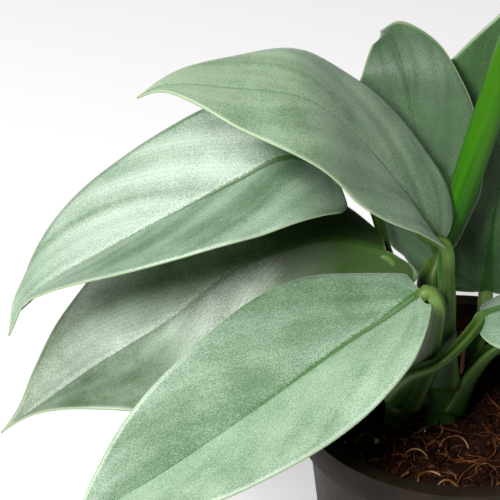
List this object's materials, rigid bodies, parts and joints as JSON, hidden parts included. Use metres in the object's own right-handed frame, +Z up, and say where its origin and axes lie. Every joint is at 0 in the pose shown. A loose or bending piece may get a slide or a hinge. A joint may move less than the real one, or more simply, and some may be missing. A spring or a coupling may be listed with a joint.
{
  "type": "potted philodendron hastatum",
  "caption": "Potted silver-leaved climbing aroid: broad pointed leaves on petioles from short stems in soil, in a round lipped nursery pot.",
  "frame": {"origin": "centre of the pot's flat base, on the surface that the pot stands on", "axes": "+Z up along the pot's axis; -Y is the front, where the largest leaf hangs towards the viewer; most leaves arch to -X"},
  "size_m": [0.2355, 0.1999, 0.2514],
  "materials": {
    "pot_plastic": "dark warm grey moulded plastic with a fine satin grain",
    "soil": "moist brown coir and peat mix with pale fibres",
    "stem": "smooth dark green stem",
    "leaf": "silvery grey-green leaf with a fine satin sheen",
    "new_leaf": "glossy bright green rolled leaf",
    "dry_sheath": "dry red-brown papery sheath"
  },
  "bodies": {
    "root": {"pot": "pot_plastic", "soil": "soil", "stem_main": "stem", "stem_front": "stem", "leaf_front_upper": "leaf", "leaf_left": "leaf", "leaf_lower": "leaf", "leaf_front": "leaf", "leaf_upright": "leaf", "leaf_back_right": "leaf", "leaf_right": "leaf", "leaf_right_low": "leaf", "leaf_back": "leaf", "leaf_rolled": "new_leaf", "sheath_front": "dry_sheath", "sheath_right": "dry_sheath"}
  },
  "joints": []
}
